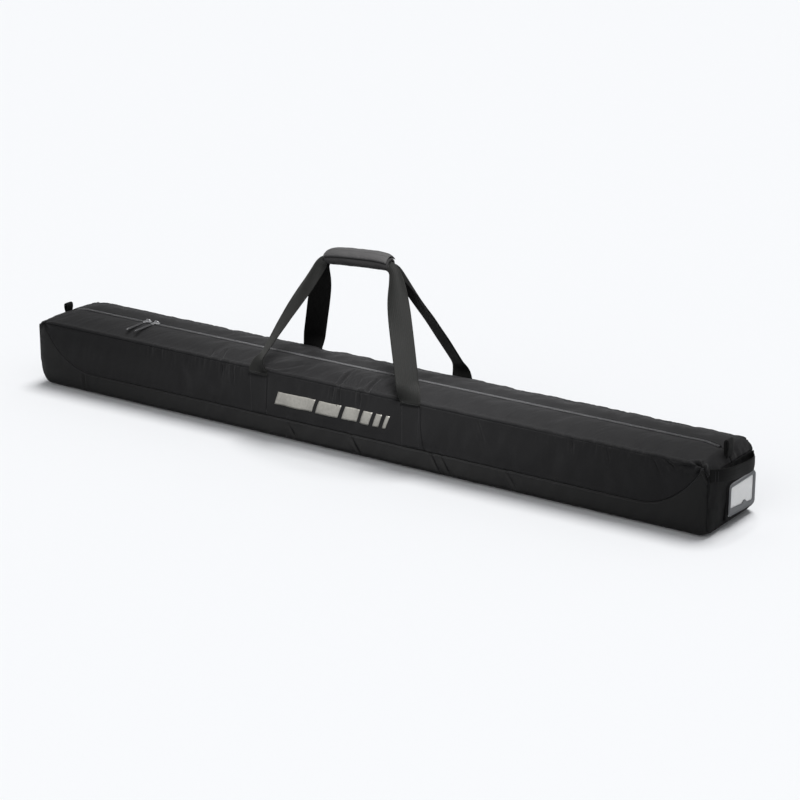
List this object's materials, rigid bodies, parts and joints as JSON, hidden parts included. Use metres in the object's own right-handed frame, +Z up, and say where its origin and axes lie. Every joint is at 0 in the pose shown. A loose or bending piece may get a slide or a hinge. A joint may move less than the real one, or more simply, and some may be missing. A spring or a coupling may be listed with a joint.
{
  "type": "ski bag",
  "caption": "Long padded ski sleeve with a lengthwise top zip, tall webbing carry loops joined by a wrapped grip, an end haul handle and a card window.",
  "frame": {"origin": "centre of the underside", "axes": "+X along the bag towards the end with the haul handle, -Y the side with the silver mark, +Z up"},
  "size_m": [1.7744, 0.2074, 0.426],
  "materials": {
    "shell_fabric": "woven matt",
    "boot_fabric": "coated weave",
    "webbing": "ribbed weave",
    "lining": "plain weave",
    "foam": "closed-cell foam",
    "zip_tape": "woven tape",
    "zip_coil": "satin",
    "slider_metal": "satin",
    "pull_rubber": "satin",
    "rim": "matt",
    "film": "clear",
    "card": "matt",
    "badge": "silver print"
  },
  "bodies": {
    "bag": {"side_panel_front": "shell_fabric", "side_panel_rear": "shell_fabric", "end_panel_left": "shell_fabric", "end_panel_right": "shell_fabric", "top_end_panel_left": "shell_fabric", "top_end_panel_right": "shell_fabric", "edge_piping_front": "shell_fabric", "edge_piping_rear": "shell_fabric", "id_pocket_binding": "shell_fabric", "boot_panel": "boot_fabric", "anchor_strip_front_left": "webbing", "anchor_strip_front_right": "webbing", "anchor_strip_rear_left": "webbing", "anchor_strip_rear_right": "webbing", "haul_handle": "webbing", "zip_end_loop_left": "webbing", "zip_end_loop_right": "webbing", "lining_tub": "lining", "bottom_foam": "foam", "side_foam_front": "foam", "side_foam_rear": "foam", "end_foam_left": "foam", "end_foam_right": "foam", "top_end_foam_left": "foam", "top_end_foam_right": "foam", "zip_tape_left": "zip_tape", "zip_tape_right": "zip_tape", "zip_coil_left": "zip_coil", "zip_coil_right": "zip_coil", "id_window_rim": "rim", "id_window_film": "film", "front_badge": "badge"},
    "lid_front": {"top_panel_front": "shell_fabric", "top_foam_front": "foam", "top_lining_front": "lining", "zip_tape_front": "zip_tape", "zip_coil_front": "zip_coil"},
    "lid_rear": {"top_panel_rear": "shell_fabric", "top_foam_rear": "foam", "top_lining_rear": "lining", "zip_tape_rear": "zip_tape", "zip_coil_rear": "zip_coil"},
    "slider_left": {"zip_slider_left": "slider_metal"},
    "slider_right": {"zip_slider_right": "slider_metal"},
    "pull_left": {"pull_link_left": "slider_metal", "pull_grip_left": "pull_rubber"},
    "pull_right": {"pull_link_right": "slider_metal", "pull_grip_right": "pull_rubber"},
    "loop_front": {"webbing_loop_front": "webbing", "grip_pad_front": "shell_fabric", "grip_loop_strip": "webbing"},
    "loop_rear": {"webbing_loop_rear": "webbing", "grip_pad_rear": "shell_fabric"},
    "grip_cover": {"grip_flap": "shell_fabric", "grip_hook_strip": "webbing"},
    "card": {"id_card": "card"}
  },
  "joints": [
    {"name": "lid_front_hinge", "type": "hinge", "parent": "bag", "child": "lid_front", "pos_m": [0, -0.0975, 0.1507], "axis": [1, 0, 0], "range_deg": [0, 52]},
    {"name": "lid_rear_hinge", "type": "hinge", "parent": "bag", "child": "lid_rear", "pos_m": [0, 0.0975, 0.1507], "axis": [-1, 0, 0], "range_deg": [0, 52]},
    {"name": "slider_right_slide", "type": "slide", "parent": "bag", "child": "slider_right", "axis": [1, 0, 0], "range_m": [0, 1.38]},
    {"name": "slider_left_slide", "type": "slide", "parent": "bag", "child": "slider_left", "axis": [-1, 0, 0], "range_m": [0, 0.155]},
    {"name": "pull_right_hinge", "type": "hinge", "parent": "slider_right", "child": "pull_right", "pos_m": [-0.6, 0, 0.1677], "axis": [-0.9997, -0.0262, 0], "range_deg": [0, 170]},
    {"name": "pull_left_hinge", "type": "hinge", "parent": "slider_left", "child": "pull_left", "pos_m": [-0.6245, 0, 0.1677], "axis": [-0.9997, -0.0262, 0], "range_deg": [0, 170]},
    {"name": "loop_front_hinge", "type": "hinge", "parent": "bag", "child": "loop_front", "pos_m": [-0.031, -0.1038, 0.15], "axis": [1, 0, 0], "range_deg": [0, 130]},
    {"name": "loop_rear_hinge", "type": "hinge", "parent": "bag", "child": "loop_rear", "pos_m": [-0.031, 0.1038, 0.15], "axis": [-1, 0, 0], "range_deg": [0, 130]},
    {"name": "grip_cover_hinge", "type": "hinge", "parent": "loop_rear", "child": "grip_cover", "pos_m": [-0.031, 0.01859, 0.41273], "axis": [-1, 0, 0], "range_deg": [0, 140]},
    {"name": "card_slide", "type": "slide", "parent": "bag", "child": "card", "axis": [0, -1, 0], "range_m": [0, 0.09]}
  ]
}
